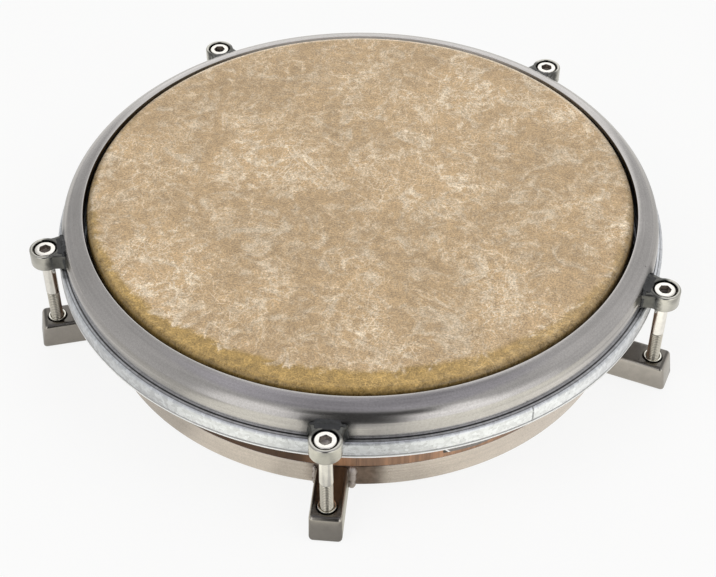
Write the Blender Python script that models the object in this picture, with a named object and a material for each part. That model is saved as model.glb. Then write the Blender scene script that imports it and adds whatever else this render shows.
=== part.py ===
"""Flat frame conga: a tucked head on a short wooden shell, held in a steel ring with five lug arms.

Metres, +Z up. The origin is the centre of the playing surface, and the drum's axis is Z. The first lug
points along -Y and the others follow every 72 degrees, counted anticlockwise from above.
"""

import math

import bmesh
import bpy
from mathutils import Matrix, Vector

# Counts
LUG_COUNT = 5
RING_FACETS = 80
ROUND_FACETS = 16
CROWN_STEPS = 6
ROLL_STEPS = 4
SHOULDER_STEPS = 3

# Running and seating gap between two solids that touch on the real drum
FIT_GAP = 0.0003

# Head: film that turns down past the bearing edge, flares out to the flesh hoop and ends in a bead under it
FILM_THICKNESS = 0.0006
FILM_ROLL = 0.0030
FILM_SIDE_ROOM = 0.0018
COLLAR_FLARE = 0.0032
FILM_BEAD_HEIGHT = 0.0012
FILM_BEAD_WIDTH = 0.0016
FILM_BEAD_PROUD = 0.0002

# Wooden shell
SHELL_RADIUS = 0.1476
SHELL_WALL = 0.0108
SHELL_INNER_CHAMFER = 0.0030
BEARING_ROLL = 0.0036

# Playing surface to the top edge of the frame ring
SHELL_EXPOSED = 0.0587

# Counterhoop: a pressed rim whose crown is a quarter ellipse over a straight skirt
RIM_CLEARANCE = 0.0022
RIM_DROP = 0.0012
RIM_WIDTH = 0.0124
RIM_HEIGHT = 0.0170
RIM_CROWN = 0.0105
RIM_SHEET = 0.0025
RIM_LIP_ANGLE = math.radians(6.5)

# Flesh hoop: a rolled steel channel under the rim, open towards the drum's axis, with a round shoulder
FLESH_HEIGHT = 0.0084
FLESH_SHEET = 0.0012
FLESH_LEDGE = 0.0032
FLESH_SHOULDER = 0.0018

# Tension rod with a socket head
ROD_RADIUS = 0.0035
THREAD_RADIUS = 0.0034
THREAD_LENGTH = 0.0300
ROD_HEAD_RADIUS = 0.0056
ROD_HEAD_HEIGHT = 0.0048
ROD_HEAD_CHAMFER = 0.0005
SOCKET_FLATS = 0.0060
SOCKET_DEPTH = 0.0030
ROD_TIP_CHAMFER = 0.0008
ROD_TIP_ROOM = 0.0037
ROD_SIDE_ROOM = 0.0025

# Ear on the rim that takes the rod's head, with a washer in its counterbore
EAR_RADIUS = 0.0084
EAR_HEIGHT = 0.0096
EAR_FLOOR = 0.0028
EAR_ROOT_HALF_WIDTH = 0.0098
EAR_ROOT_FILLET_STEPS = 5
HEAD_SIDE_ROOM = 0.0010
ROD_HOLE_ROOM = 0.0004
WASHER_THICKNESS = 0.0008

# Frame ring: a rolled band with an inner flange that carries the shell
RING_HEIGHT = 0.0142
RING_SHEET = 0.0022
RING_PROUD = 0.0003
RING_SEAT_DEPTH = 0.0058
RING_FLANGE = 0.0075

# Lug arm, welded to the ring; its nose leans out towards the floor, and its edges are round
ARM_WIDTH = 0.0170
ARM_HEIGHT = 0.0151
ARM_NOSE = 0.0080
ARM_NOSE_LEAN = 0.0024
ARM_EDGE = 0.0022
ARM_EDGE_STEPS = 3
FOOT_EDGE = 0.0014
FOOT_EDGE_STEPS = 2
ARM_DROP = 0.0005
FOOT_HEIGHT = 0.0008
FOOT_LENGTH = 0.0036
TAB_LENGTH = 0.0024
TAB_INSET = 0.0150

# Lug nut: a threaded sleeve put in from below, with its flange in the underside of the arm
NUT_RADIUS = 0.0048
NUT_SIDE_ROOM = 0.0006
NUT_RISE = 0.0008
NUT_COUNTERSINK = 0.0006
NUT_FLANGE_RADIUS = 0.0066
NUT_FLANGE_HEIGHT = 0.0020

# Places that follow from the sizes, from the playing surface down
FILM_RADIUS = SHELL_RADIUS + FILM_SIDE_ROOM + FILM_THICKNESS
SHELL_TOP = -FILM_THICKNESS - FIT_GAP
RIM_LIP_RADIUS = FILM_RADIUS + RIM_CLEARANCE
RIM_RADIUS = RIM_LIP_RADIUS + RIM_WIDTH
RIM_BOTTOM = -RIM_DROP - RIM_HEIGHT
FLESH_INNER_RADIUS = FILM_RADIUS + COLLAR_FLARE + FIT_GAP
FLESH_RADIUS = RIM_RADIUS + FLESH_LEDGE
FLESH_TOP = RIM_BOTTOM - FIT_GAP
FLESH_BOTTOM = FLESH_TOP - FLESH_HEIGHT
LUG_RADIUS = FLESH_RADIUS + ROD_SIDE_ROOM + ROD_RADIUS
EAR_TOP = RIM_BOTTOM + EAR_HEIGHT
EAR_SEAT = RIM_BOTTOM + EAR_FLOOR
WASHER_BOTTOM = EAR_SEAT + FIT_GAP
WASHER_TOP = WASHER_BOTTOM + WASHER_THICKNESS
ROD_HEAD_BOTTOM = WASHER_TOP + FIT_GAP
RING_TOP = -SHELL_EXPOSED
RING_RADIUS = SHELL_RADIUS + RING_PROUD
RING_INNER_RADIUS = RING_RADIUS - RING_SHEET
SHELL_BOTTOM = RING_TOP - RING_SEAT_DEPTH
FLANGE_TOP = SHELL_BOTTOM - FIT_GAP
ARM_TOP = RING_TOP - ARM_DROP
ARM_BOTTOM = ARM_TOP - ARM_HEIGHT
FOOT_BOTTOM = ARM_BOTTOM - FOOT_HEIGHT
ARM_ROOT_RADIUS = RING_RADIUS + FIT_GAP
ARM_END_RADIUS = LUG_RADIUS + ARM_NOSE
TOE_RADIUS = ARM_END_RADIUS + ARM_NOSE_LEAN
NUT_FLANGE_BOTTOM = ARM_BOTTOM + FIT_GAP
NUT_FLANGE_TOP = NUT_FLANGE_BOTTOM + NUT_FLANGE_HEIGHT
NUT_TOP = ARM_TOP + NUT_RISE
ROD_TIP = NUT_FLANGE_BOTTOM + ROD_TIP_ROOM

# How far a cutter runs past the faces that it cuts
CUT_PAST = 0.0050


def remove_everything():
    """Empty the scene before the drum is built."""
    for scene_object in list(bpy.data.objects):
        bpy.data.objects.remove(scene_object, do_unlink=True)


def make_material(name, colour, roughness, metallic):
    """A plain Principled finish for one kind of piece."""
    material = bpy.data.materials.new(name)
    material.use_nodes = True
    shader = material.node_tree.nodes["Principled BSDF"]
    shader.inputs["Base Color"].default_value = (*colour, 1.0)
    shader.inputs["Roughness"].default_value = roughness
    shader.inputs["Metallic"].default_value = metallic
    return material


def finish_mesh(bm, name):
    """Close up a bmesh, turn its faces out and shade its round sides smooth."""
    bmesh.ops.remove_doubles(bm, verts=bm.verts, dist=0.000001)
    bmesh.ops.recalc_face_normals(bm, faces=bm.faces)
    mesh = bpy.data.meshes.new(name)
    bm.to_mesh(mesh)
    bm.free()
    mesh.shade_smooth()
    mesh.set_sharp_from_angle(angle=math.radians(35.0))
    return mesh


def turned_mesh(name, profile, facets):
    """Spin an outline of (radius, height) points once round Z; it is closed unless both its ends lie on Z."""
    bm = bmesh.new()
    corners = [bm.verts.new((radius, 0.0, height)) for radius, height in profile]
    edges = [bm.edges.new(pair) for pair in zip(corners, corners[1:])]
    if profile[0][0] > 0.0:
        edges.append(bm.edges.new((corners[-1], corners[0])))
    bmesh.ops.spin(
        bm,
        geom=corners + edges,
        cent=(0.0, 0.0, 0.0),
        axis=(0.0, 0.0, 1.0),
        angle=2.0 * math.pi,
        steps=facets,
        use_merge=True,
    )
    return finish_mesh(bm, name)


def raised_outline(outline, bottom, top):
    """A bmesh with a plan outline of (x, y) points raised from one height to another."""
    bm = bmesh.new()
    face = bm.faces.new([bm.verts.new((x, y, bottom)) for x, y in outline])
    raised = bmesh.ops.extrude_face_region(bm, geom=[face])
    moved = [item for item in raised["geom"] if isinstance(item, bmesh.types.BMVert)]
    bmesh.ops.translate(bm, verts=moved, vec=(0.0, 0.0, top - bottom))
    return bm


def box_mesh(name, low, high):
    """A plain block between two corners."""
    bm = bmesh.new()
    centre = (Vector(low) + Vector(high)) / 2.0
    size = Vector(high) - Vector(low)
    bmesh.ops.create_cube(bm, size=1.0, matrix=Matrix.Translation(centre) @ Matrix.Diagonal((*size, 1.0)))
    return finish_mesh(bm, name)


def cut_mesh(name, mesh, cutters):
    """Take the cutter meshes out of a mesh, and return what is left as a mesh of its own."""
    blank = bpy.data.objects.new(name + "_blank", mesh)
    bpy.context.scene.collection.objects.link(blank)
    tools = []
    for cutter in cutters:
        tool = bpy.data.objects.new(name + "_cutter", cutter)
        tool.hide_render = True
        tool.display_type = "WIRE"
        bpy.context.scene.collection.objects.link(tool)
        cut = blank.modifiers.new("cut", "BOOLEAN")
        cut.operation = "DIFFERENCE"
        cut.solver = "EXACT"
        cut.object = tool
        tools.append(tool)
    depsgraph = bpy.context.evaluated_depsgraph_get()
    result = bpy.data.meshes.new_from_object(blank.evaluated_get(depsgraph))
    result.name = name
    for used in tools + [blank]:
        bpy.data.objects.remove(used, do_unlink=True)
    result.shade_smooth()
    result.set_sharp_from_angle(angle=math.radians(35.0))
    return result


def place(name, mesh, material, turn=0.0, location=(0.0, 0.0, 0.0)):
    """Put one named piece of the drum in the scene."""
    piece = bpy.data.objects.new(name, mesh)
    if not mesh.materials:
        mesh.materials.append(material)
    piece.rotation_euler.z = turn
    piece.location = location
    bpy.context.scene.collection.objects.link(piece)
    return piece


def lug_angle(index):
    """Azimuth of a lug, with the first along -Y."""
    return -math.pi / 2.0 + index * 2.0 * math.pi / LUG_COUNT


def place_at_lugs(base_name, mesh, material, on_rod_axis=False):
    """Repeat a piece at every lug; a piece on the rod's axis has its own origin there."""
    for index in range(LUG_COUNT):
        angle = lug_angle(index)
        location = (0.0, 0.0, 0.0)
        if on_rod_axis:
            location = (LUG_RADIUS * math.cos(angle), LUG_RADIUS * math.sin(angle), 0.0)
        place(f"{base_name}_{index + 1}", mesh, material, angle, location)


def arc(centre, radius, start, end, steps):
    """Points along a round stretch of an outline, both ends included."""
    angles = [start + (end - start) * step / steps for step in range(steps + 1)]
    return [(centre[0] + radius * math.cos(a), centre[1] + radius * math.sin(a)) for a in angles]


def head_skin_mesh():
    """The playing disc, turned down over the bearing edge as far as the point where it hangs straight."""
    centre = (FILM_RADIUS - FILM_ROLL, -FILM_ROLL)
    outside = arc(centre, FILM_ROLL, math.pi / 2.0, 0.0, ROLL_STEPS)
    inside = arc(centre, FILM_ROLL - FILM_THICKNESS, 0.0, math.pi / 2.0, ROLL_STEPS)
    profile = [(0.0, 0.0)] + outside + inside + [(0.0, -FILM_THICKNESS)]
    return turned_mesh("head_skin", profile, RING_FACETS)


def head_collar_mesh():
    """The collar below the bearing edge, flared out to the flesh hoop and tucked under it up to its bead."""
    top = -FILM_ROLL - FIT_GAP
    tuck_top = FLESH_BOTTOM - FIT_GAP
    tuck_bottom = tuck_top - FILM_THICKNESS
    foot = FILM_RADIUS + COLLAR_FLARE
    bead_end = FLESH_RADIUS + FILM_BEAD_PROUD
    bead_start = bead_end - FILM_BEAD_WIDTH
    bead_bottom = tuck_top - FILM_BEAD_HEIGHT
    profile = [
        (FILM_RADIUS - FILM_THICKNESS, top),
        (foot - FILM_THICKNESS, tuck_bottom),
        (bead_start, tuck_bottom),
        (bead_start, bead_bottom),
        (bead_end, bead_bottom),
        (bead_end, tuck_top),
        (foot, tuck_top),
        (FILM_RADIUS, top),
    ]
    return turned_mesh("head_collar", profile, RING_FACETS)


def wood_shell_mesh():
    """The short shell: a rolled bearing edge on top and a step that drops into the frame ring."""
    inner = SHELL_RADIUS - SHELL_WALL
    centre = (SHELL_RADIUS - BEARING_ROLL, SHELL_TOP - BEARING_ROLL)
    spigot = RING_INNER_RADIUS - FIT_GAP
    shoulder = RING_TOP + FIT_GAP
    profile = [(inner, SHELL_TOP - SHELL_INNER_CHAMFER), (inner + SHELL_INNER_CHAMFER, SHELL_TOP)]
    profile += arc(centre, BEARING_ROLL, math.pi / 2.0, 0.0, ROLL_STEPS)
    profile += [(SHELL_RADIUS, shoulder), (spigot, shoulder), (spigot, SHELL_BOTTOM), (inner, SHELL_BOTTOM)]
    return turned_mesh("wood_shell", profile, RING_FACETS)


def rim_outline():
    """Outer and inner outline of the rim: a crown that turns down into a straight skirt."""
    half_width = RIM_WIDTH / (1.0 - math.sin(RIM_LIP_ANGLE))
    centre_radius = RIM_RADIUS - half_width
    centre_height = -RIM_DROP - RIM_CROWN * math.cos(RIM_LIP_ANGLE)
    outside = []
    inside = []
    for step in range(CROWN_STEPS + 1):
        angle = RIM_LIP_ANGLE + (math.pi / 2.0 - RIM_LIP_ANGLE) * step / CROWN_STEPS
        point = Vector((half_width * math.sin(angle), RIM_CROWN * math.cos(angle)))
        normal = Vector((math.sin(angle) / half_width, math.cos(angle) / RIM_CROWN)).normalized()
        centre = Vector((centre_radius, centre_height))
        outside.append(tuple(centre + point))
        inside.append(tuple(centre + point - normal * RIM_SHEET))
    outside.append((RIM_RADIUS, RIM_BOTTOM))
    inside.append((RIM_RADIUS - RIM_SHEET, RIM_BOTTOM))
    return outside, inside


def counterhoop_mesh():
    """The pressed rim that pulls the head down."""
    outside, inside = rim_outline()
    return turned_mesh("counterhoop", outside + inside[::-1], RING_FACETS)


def flesh_hoop_mesh():
    """The rolled channel that the collar is tucked round and the rim bears on."""
    centre = (FLESH_RADIUS - FLESH_SHOULDER, FLESH_TOP - FLESH_SHOULDER)
    floor = FLESH_BOTTOM + FLESH_SHEET
    profile = [(FLESH_INNER_RADIUS, FLESH_TOP)]
    profile += arc(centre, FLESH_SHOULDER, math.pi / 2.0, 0.0, SHOULDER_STEPS)
    profile += [(FLESH_RADIUS, FLESH_BOTTOM), (FLESH_INNER_RADIUS, FLESH_BOTTOM)]
    profile += [(FLESH_INNER_RADIUS, floor), (FLESH_RADIUS - FLESH_SHEET, floor)]
    profile += arc(centre, FLESH_SHOULDER - FLESH_SHEET, 0.0, math.pi / 2.0, SHOULDER_STEPS)
    profile.append((FLESH_INNER_RADIUS, FLESH_TOP - FLESH_SHEET))
    return turned_mesh("flesh_hoop", profile, RING_FACETS)


def frame_ring_mesh():
    """The band that the arms are welded to, with the flange that the shell stands on."""
    flange_inner = RING_INNER_RADIUS - RING_FLANGE
    flange_bottom = FLANGE_TOP - RING_SHEET
    ring_bottom = RING_TOP - RING_HEIGHT
    profile = [
        (RING_INNER_RADIUS, RING_TOP),
        (RING_RADIUS, RING_TOP),
        (RING_RADIUS, ring_bottom),
        (RING_INNER_RADIUS, ring_bottom),
        (RING_INNER_RADIUS, flange_bottom),
        (flange_inner, flange_bottom),
        (flange_inner, FLANGE_TOP),
        (RING_INNER_RADIUS, FLANGE_TOP),
    ]
    return turned_mesh("frame_ring", profile, RING_FACETS)


def ear_outline():
    """Plan of an ear: a round boss on a root that widens to follow the rim."""
    root_radius = RIM_RADIUS + FIT_GAP
    root_angle = math.asin(EAR_ROOT_HALF_WIDTH / root_radius)
    corner = Vector((root_radius * math.cos(root_angle), EAR_ROOT_HALF_WIDTH))
    boss = Vector((LUG_RADIUS, 0.0))
    # The flank is a hollow curve that leaves the boss along its tangent
    leave = math.radians(110.0)
    touch = boss + EAR_RADIUS * Vector((math.cos(leave), math.sin(leave)))
    tangent = Vector((-math.sin(leave), math.cos(leave)))
    bend = touch + tangent * (corner - touch).length / 2.0
    flank = []
    for step in range(1, EAR_ROOT_FILLET_STEPS):
        share = step / EAR_ROOT_FILLET_STEPS
        point = touch * (1.0 - share) ** 2 + bend * 2.0 * share * (1.0 - share) + corner * share**2
        flank.append((point.x, point.y))
    outline = arc(boss, EAR_RADIUS, -leave, leave, ROUND_FACETS)
    outline += flank
    outline += arc((0.0, 0.0), root_radius, root_angle, -root_angle, 4)
    outline += [(x, -y) for x, y in reversed(flank)]
    return outline


def rod_plug_mesh(name, steps):
    """A cutter of stacked cylinders on a rod's axis, each given as (radius, low height, high height)."""
    profile = [(0.0, steps[0][1])]
    for radius, low, high in steps:
        profile += [(radius, low), (radius, high)]
    profile.append((0.0, steps[-1][2]))
    mesh = turned_mesh(name, profile, ROUND_FACETS)
    mesh.transform(Matrix.Translation((LUG_RADIUS, 0.0, 0.0)))
    return mesh


def hoop_ear_mesh():
    """An ear with a counterbore for the rod's head and a hole for its shank."""
    body = finish_mesh(raised_outline(ear_outline(), RIM_BOTTOM, EAR_TOP), "hoop_ear")
    hole = ROD_RADIUS + ROD_HOLE_ROOM
    counterbore = ROD_HEAD_RADIUS + HEAD_SIDE_ROOM
    steps = [(hole, RIM_BOTTOM - CUT_PAST, EAR_SEAT), (counterbore, EAR_SEAT, EAR_TOP + CUT_PAST)]
    return cut_mesh("hoop_ear", body, [rod_plug_mesh("ear_plug", steps)])


def rod_washer_mesh():
    """The washer under the rod's head, about its own axis."""
    hole = ROD_RADIUS + ROD_HOLE_ROOM
    rim = ROD_HEAD_RADIUS + HEAD_SIDE_ROOM - FIT_GAP
    profile = [(hole, WASHER_BOTTOM), (rim, WASHER_BOTTOM), (rim, WASHER_TOP), (hole, WASHER_TOP)]
    return turned_mesh("rod_washer", profile, ROUND_FACETS)


def tension_rod_mesh():
    """A rod about its own axis: socket head, plain shank and a threaded end."""
    head_top = ROD_HEAD_BOTTOM + ROD_HEAD_HEIGHT
    thread_top = ROD_TIP + THREAD_LENGTH
    profile = [
        (0.0, head_top),
        (ROD_HEAD_RADIUS - ROD_HEAD_CHAMFER, head_top),
        (ROD_HEAD_RADIUS, head_top - ROD_HEAD_CHAMFER),
        (ROD_HEAD_RADIUS, ROD_HEAD_BOTTOM),
        (ROD_RADIUS, ROD_HEAD_BOTTOM),
        (ROD_RADIUS, thread_top),
        (THREAD_RADIUS, thread_top),
        (THREAD_RADIUS, ROD_TIP + ROD_TIP_CHAMFER),
        (THREAD_RADIUS - ROD_TIP_CHAMFER, ROD_TIP),
        (0.0, ROD_TIP),
    ]
    body = turned_mesh("tension_rod", profile, ROUND_FACETS)
    corner_radius = SOCKET_FLATS / math.sqrt(3.0)
    floor = head_top - SOCKET_DEPTH
    socket = [(0.0, floor), (corner_radius, floor), (corner_radius, head_top + CUT_PAST)]
    socket.append((0.0, head_top + CUT_PAST))
    return cut_mesh("tension_rod", body, [turned_mesh("hex_socket", socket, 6)])


def arm_outline():
    """Plan of a lug arm: its root follows the ring and its nose is square."""
    half = ARM_WIDTH / 2.0
    root_angle = math.asin(half / ARM_ROOT_RADIUS)
    root = arc((0.0, 0.0), ARM_ROOT_RADIUS, root_angle, -root_angle, 4)
    return root + [(ARM_END_RADIUS, -half), (ARM_END_RADIUS, half)]


def is_clear_of_root(edge):
    """True for an edge of an arm that isn't wholly on its welded root."""
    return max(math.hypot(corner.co.x, corner.co.y) for corner in edge.verts) > ARM_ROOT_RADIUS + FIT_GAP


def is_upper_arm_edge(edge):
    """True for the long top edges of an arm and for the edges of its nose."""
    heights = [corner.co.z for corner in edge.verts]
    in_top = min(heights) > ARM_TOP - FIT_GAP
    upright = abs(heights[0] - heights[1]) > ARM_HEIGHT / 2.0
    return (in_top or upright) and is_clear_of_root(edge)


def is_lower_arm_edge(edge):
    """True for the edges round the bottom of an arm."""
    heights = [corner.co.z for corner in edge.verts]
    return max(heights) < FOOT_BOTTOM + FIT_GAP and is_clear_of_root(edge)


def round_edges(bm, edges, size, steps):
    """Round some edges of a bmesh."""
    bmesh.ops.bevel(
        bm,
        geom=edges,
        offset=size,
        offset_type="OFFSET",
        segments=steps,
        profile=0.5,
        affect="EDGES",
        material=-1,
        clamp_overlap=True,
    )


def lug_arm_mesh():
    """An arm with a foot under its nose, a tab under its middle and a bore for the lug nut."""
    bm = raised_outline(arm_outline(), FOOT_BOTTOM, ARM_TOP)
    toe = [corner for corner in bm.verts if corner.co.x > LUG_RADIUS and corner.co.z < ARM_BOTTOM]
    bmesh.ops.translate(bm, verts=toe, vec=(ARM_NOSE_LEAN, 0.0, 0.0))
    round_edges(bm, [edge for edge in bm.edges if is_upper_arm_edge(edge)], ARM_EDGE, ARM_EDGE_STEPS)
    round_edges(bm, [edge for edge in bm.edges if is_lower_arm_edge(edge)], FOOT_EDGE, FOOT_EDGE_STEPS)
    body = finish_mesh(bm, "lug_arm")
    half = ARM_WIDTH / 2.0 + CUT_PAST
    foot_start = TOE_RADIUS - FOOT_LENGTH
    tab_start = ARM_ROOT_RADIUS + TAB_INSET
    tab_end = tab_start + TAB_LENGTH
    low = FOOT_BOTTOM - CUT_PAST
    recesses = [
        box_mesh("outer_recess", (tab_end, -half, low), (foot_start, half, ARM_BOTTOM)),
        box_mesh("inner_recess", (ARM_ROOT_RADIUS - CUT_PAST, -half, low), (tab_start, half, ARM_BOTTOM)),
    ]
    bore = NUT_RADIUS + NUT_SIDE_ROOM
    flange_bore = NUT_FLANGE_RADIUS + FIT_GAP
    flange_seat = NUT_FLANGE_TOP + FIT_GAP
    steps = [(flange_bore, low, flange_seat), (bore, flange_seat, ARM_TOP + CUT_PAST)]
    return cut_mesh("lug_arm", body, recesses + [rod_plug_mesh("nut_bore", steps)])


def lug_nut_mesh():
    """The threaded sleeve in an arm, countersunk on top, about its own axis."""
    bore = THREAD_RADIUS + FIT_GAP
    profile = [
        (bore, NUT_TOP - NUT_COUNTERSINK),
        (bore + NUT_COUNTERSINK, NUT_TOP),
        (NUT_RADIUS, NUT_TOP),
        (NUT_RADIUS, NUT_FLANGE_TOP),
        (NUT_FLANGE_RADIUS, NUT_FLANGE_TOP),
        (NUT_FLANGE_RADIUS, NUT_FLANGE_BOTTOM),
        (bore, NUT_FLANGE_BOTTOM),
    ]
    return turned_mesh("lug_nut", profile, ROUND_FACETS)


def build():
    """Make every piece of the drum."""
    remove_everything()
    film = make_material("head_film", (0.46, 0.36, 0.23), 0.55, 0.0)
    collar_film = make_material("collar_film", (0.40, 0.31, 0.19), 0.55, 0.0)
    maple = make_material("shell_wood", (0.20, 0.085, 0.045), 0.45, 0.0)
    nickel = make_material("rim_nickel", (0.42, 0.40, 0.39), 0.34, 1.0)
    ear_nickel = make_material("ear_nickel", (0.38, 0.36, 0.34), 0.36, 1.0)
    ring_nickel = make_material("ring_nickel", (0.45, 0.41, 0.36), 0.38, 1.0)
    arm_nickel = make_material("arm_nickel", (0.30, 0.27, 0.24), 0.42, 1.0)
    galvanised = make_material("flesh_hoop_zinc", (0.68, 0.70, 0.72), 0.45, 1.0)
    rod_steel = make_material("rod_steel", (0.80, 0.79, 0.76), 0.22, 1.0)
    nut_steel = make_material("nut_steel", (0.74, 0.72, 0.68), 0.25, 1.0)
    washer_steel = make_material("washer_steel", (0.60, 0.60, 0.60), 0.35, 1.0)
    place("head_skin", head_skin_mesh(), film)
    place("head_collar", head_collar_mesh(), collar_film)
    place("wood_shell", wood_shell_mesh(), maple)
    place("counterhoop", counterhoop_mesh(), nickel)
    place("flesh_hoop", flesh_hoop_mesh(), galvanised)
    place("frame_ring", frame_ring_mesh(), ring_nickel)
    place_at_lugs("hoop_ear", hoop_ear_mesh(), ear_nickel)
    place_at_lugs("lug_arm", lug_arm_mesh(), arm_nickel)
    place_at_lugs("lug_nut", lug_nut_mesh(), nut_steel, on_rod_axis=True)
    place_at_lugs("rod_washer", rod_washer_mesh(), washer_steel, on_rod_axis=True)
    place_at_lugs("tension_rod", tension_rod_mesh(), rod_steel, on_rod_axis=True)


build()
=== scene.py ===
"""Dress the flat frame conga: its pieces in full detail, their finishes, the studio and the camera."""

import math
import random

import bmesh
import bpy
from mathutils import Matrix, Vector


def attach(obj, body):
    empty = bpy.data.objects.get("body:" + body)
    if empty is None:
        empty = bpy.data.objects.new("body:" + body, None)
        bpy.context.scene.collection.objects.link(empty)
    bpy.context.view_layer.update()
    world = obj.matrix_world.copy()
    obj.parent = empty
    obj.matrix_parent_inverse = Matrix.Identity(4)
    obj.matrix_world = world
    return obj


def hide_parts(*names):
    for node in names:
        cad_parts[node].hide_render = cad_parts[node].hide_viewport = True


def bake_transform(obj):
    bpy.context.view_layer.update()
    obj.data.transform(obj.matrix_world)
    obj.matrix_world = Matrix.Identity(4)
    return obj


bl_info = {
    "name": "Flat Frame Conga",
    "version": (1, 1, 0),
    "blender": (4, 5, 0),
    "location": "3D View > Sidebar > Conga",
    "description": "Builds the visible pieces of a flat frame conga round its packed solids",
    "category": "Object",
}

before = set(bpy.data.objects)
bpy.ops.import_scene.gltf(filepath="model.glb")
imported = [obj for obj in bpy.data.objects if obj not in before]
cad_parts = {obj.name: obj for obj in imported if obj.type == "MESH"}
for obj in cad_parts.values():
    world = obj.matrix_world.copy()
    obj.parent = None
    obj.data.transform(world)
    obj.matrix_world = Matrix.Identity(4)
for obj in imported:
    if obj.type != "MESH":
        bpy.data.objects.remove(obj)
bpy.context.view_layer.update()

# Places and sizes shared by several pieces, in metres, as in the solids
LUG_COUNT = 5
LUG_RADIUS = 0.1738
FILM_RADIUS = 0.1500
FILM_ROLL = 0.0030
FILM = 0.0006
BEAD_BOTTOM = -0.0284
RIM_LIP_RADIUS = 0.1522
RIM_RADIUS = 0.1646
RIM_TOP = -0.0012
RIM_BOTTOM = -0.0182
FLESH_TOP = -0.0185
FLESH_BOTTOM = -0.0269
FLESH_INNER = 0.1535
FLESH_RADIUS = 0.1678
SHELL_RADIUS = 0.1476
SHELL_INNER = 0.1368
RING_TOP = -0.0587
RING_BOTTOM = -0.0729
RING_RADIUS = 0.1479
RING_INNER = 0.1457
EAR_TOP = -0.0086
EAR_BOTTOM = -0.0182
EAR_SEAT = -0.0154
HEAD_TOP = -0.0092
HEAD_BOTTOM = -0.0140
THREAD_TOP = -0.0403
ROD_TIP = -0.0703
ARM_TOP = -0.0592
ARM_BOTTOM = -0.0743
FLOOR = -0.0751


def lug_turn(index):
    """The turn that brings a piece made along +X to its lug; the first lug is along -Y."""
    return Matrix.Rotation(-math.pi / 2.0 + index * 2.0 * math.pi / LUG_COUNT, 4, "Z")


def arc(centre, radius, start, end, steps):
    """Points of a round stretch of an outline, with both ends, angles in degrees."""
    angles = [math.radians(start + (end - start) * step / steps) for step in range(steps + 1)]
    return [(centre[0] + radius * math.cos(a), centre[1] + radius * math.sin(a)) for a in angles]


def rounded(outline, radius, steps=4):
    """A closed outline with every corner turned into a small round."""
    corners = [Vector(point) for point in outline]
    result = []
    for index, corner in enumerate(corners):
        before = corners[index - 1] - corner
        after = corners[(index + 1) % len(corners)] - corner
        if before.angle(after) > math.radians(165.0):
            result.append(tuple(corner))
            continue
        reach = min(radius, before.length * 0.45, after.length * 0.45)
        start = corner + before.normalized() * reach
        end = corner + after.normalized() * reach
        for step in range(steps + 1):
            share = step / steps
            bend = start * (1 - share) ** 2 + corner * 2 * share * (1 - share) + end * share**2
            result.append(tuple(bend))
    return result


def spun(outline, steps, degrees=360.0):
    """A bmesh of an outline of (radius, height) points spun round Z, all the way or part of the way."""
    bm = bmesh.new()
    corners = [bm.verts.new((radius, 0.0, height)) for radius, height in outline]
    edges = [bm.edges.new(pair) for pair in zip(corners, corners[1:])]
    if outline[0][0] > 0.0:
        edges.append(bm.edges.new((corners[-1], corners[0])))
    bmesh.ops.spin(
        bm,
        geom=corners + edges,
        cent=(0.0, 0.0, 0.0),
        axis=(0.0, 0.0, 1.0),
        angle=math.radians(degrees),
        steps=steps,
        use_merge=degrees == 360.0,
    )
    if degrees != 360.0:
        bmesh.ops.holes_fill(bm, edges=[edge for edge in bm.edges if edge.is_boundary], sides=0)
    return bm


def block(bm, low, high):
    """Add a box between two corners to a bmesh, and hand back its vertices."""
    low, high = Vector(low), Vector(high)
    size = Matrix.Diagonal((*(high - low), 1.0))
    return bmesh.ops.create_cube(bm, size=1.0, matrix=Matrix.Translation((low + high) / 2.0) @ size)["verts"]


def round_edges(bm, edges, size, steps):
    """Round some edges of a bmesh."""
    bmesh.ops.bevel(
        bm,
        geom=edges,
        offset=size,
        offset_type="OFFSET",
        segments=steps,
        profile=0.5,
        affect="EDGES",
        material=-1,
        clamp_overlap=True,
    )


def on_rod_axis(bm):
    """Move a bmesh that was spun round Z onto the rod's axis of a lug along +X."""
    bmesh.ops.translate(bm, verts=bm.verts, vec=(LUG_RADIUS, 0.0, 0.0))
    return bm


def with_modifiers(bm, set_up):
    """A new bmesh of an old one with modifiers applied; set_up adds them to an object."""
    mesh = bpy.data.meshes.new("workpiece")
    bm.to_mesh(mesh)
    bm.free()
    piece = bpy.data.objects.new("workpiece", mesh)
    bpy.context.scene.collection.objects.link(piece)
    helpers = set_up(piece) or []
    result = bmesh.new()
    result.from_object(piece, bpy.context.evaluated_depsgraph_get())
    for done in (piece, *helpers):
        mesh = done.data
        bpy.data.objects.remove(done)
        bpy.data.meshes.remove(mesh)
    return result


def combined(body, others, operation):
    """Cut other solids from a body (DIFFERENCE), join them to it (UNION) or keep what they share."""
    for bm in (body, *others):
        bmesh.ops.remove_doubles(bm, verts=bm.verts, dist=0.000001)
        bmesh.ops.recalc_face_normals(bm, faces=bm.faces)

    def set_up(piece):
        helpers = []
        for bm in others:
            mesh = bpy.data.meshes.new("helper")
            bm.to_mesh(mesh)
            bm.free()
            helper = bpy.data.objects.new("helper", mesh)
            bpy.context.scene.collection.objects.link(helper)
            step = piece.modifiers.new("combine", "BOOLEAN")
            step.operation = operation
            step.solver = "EXACT"
            step.object = helper
            helpers.append(helper)
        return helpers

    return with_modifiers(body, set_up)


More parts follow.
